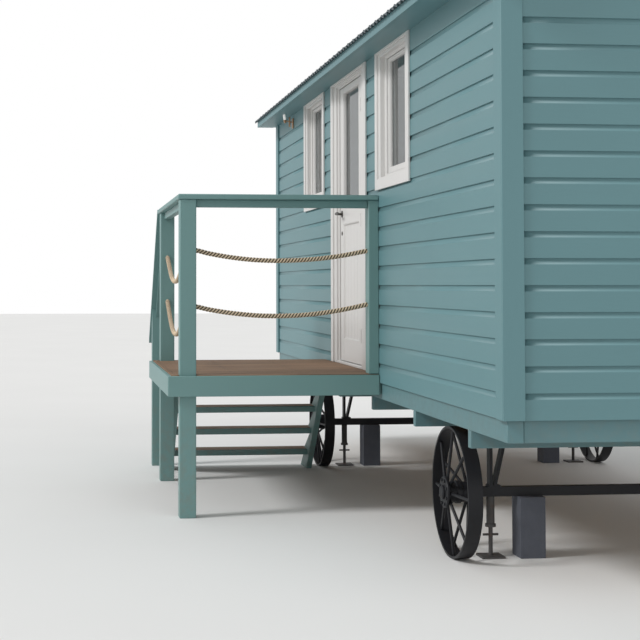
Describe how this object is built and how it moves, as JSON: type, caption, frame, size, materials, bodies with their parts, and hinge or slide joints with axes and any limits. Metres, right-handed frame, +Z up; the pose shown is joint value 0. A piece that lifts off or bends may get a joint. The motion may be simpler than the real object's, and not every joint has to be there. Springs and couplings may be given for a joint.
{
  "type": "shepherds hut",
  "caption": "Timber shepherds hut on four spoked iron wheels, with a curved metal roof, a half-glazed door that opens, square windows, a raised deck with rope rails and open steps.",
  "frame": {"origin": "On the ground under the middle of the whole object's box, halfway along the hut and halfway between the deck's outer edge and the far eave.", "axes": "+X runs along the hut towards its near end, +Y points away from the door side, +Z is up."},
  "size_m": [6.688, 3.855, 3.3178],
  "materials": {
    "paint": "satin blue-green paint on timber",
    "white_paint": "satin white paint on timber",
    "floor_timber": "planed floor boards",
    "roof_timber": "sawn roof boards",
    "roof_metal": "matt coated steel sheet",
    "glass": "clear window glass",
    "handle_metal": "dark bronzed metal",
    "black_iron": "black painted iron",
    "rusty_iron": "dull iron with light rust",
    "block_grey": "rough dark grey block",
    "deck_timber": "weathered brown deck boards",
    "rope": "natural three-strand rope",
    "copper_metal": "coppery lamp bracket"
  },
  "bodies": {
    "hut": {"front_wall_near": "paint", "front_wall_far": "paint", "front_wall_over_door": "paint", "back_wall": "paint", "near_end_wall": "paint", "far_end_wall": "paint", "floor": "floor_timber", "roof_boards": "roof_timber", "roof_sheeting": "roof_metal", "verge_boards": "paint", "eave_boards": "paint", "corner_boards": "paint", "window_casings": "white_paint", "window_sashes": "white_paint", "window_glass": "glass", "door_casing": "white_paint", "sill_beams": "paint", "chassis_rails": "black_iron", "cross_bearers": "paint", "axles": "black_iron", "axle_hangers": "black_iron", "screw_props": "rusty_iron", "support_blocks": "block_grey", "deck_boards": "deck_timber", "deck_frame": "paint", "deck_posts": "paint", "cap_rails": "paint", "under_rails": "paint", "near_upper_rope": "rope", "near_lower_rope": "rope", "side_upper_rope": "rope", "side_lower_rope": "rope", "stringers": "paint", "treads": "deck_timber", "newel_post": "paint", "handrail": "paint", "eave_lamp": "copper_metal"},
    "door": {"door_leaf": "white_paint", "door_hinges": "handle_metal", "door_glass": "glass", "door_handles": "handle_metal"},
    "near_front_wheel": {"wheel_near_front": "black_iron"},
    "near_back_wheel": {"wheel_near_back": "black_iron"},
    "far_front_wheel": {"wheel_far_front": "black_iron"},
    "far_back_wheel": {"wheel_far_back": "black_iron"}
  },
  "joints": [
    {"name": "door_hinge", "type": "hinge", "parent": "hut", "child": "door", "pos_m": [0.235, -0.6265, 1.82], "axis": [0, 0, 1], "range_deg": [0, 100]},
    {"name": "near_front_wheel_spin", "type": "hinge", "parent": "hut", "child": "near_front_wheel", "pos_m": [2.115, -0.5475, 0.335], "axis": [0, 1, 0], "continuous": true},
    {"name": "near_back_wheel_spin", "type": "hinge", "parent": "hut", "child": "near_back_wheel", "pos_m": [2.115, 1.6475, 0.335], "axis": [0, 1, 0], "continuous": true},
    {"name": "far_front_wheel_spin", "type": "hinge", "parent": "hut", "child": "far_front_wheel", "pos_m": [-1.575, -0.5475, 0.335], "axis": [0, 1, 0], "continuous": true},
    {"name": "far_back_wheel_spin", "type": "hinge", "parent": "hut", "child": "far_back_wheel", "pos_m": [-1.575, 1.6475, 0.335], "axis": [0, 1, 0], "continuous": true}
  ]
}
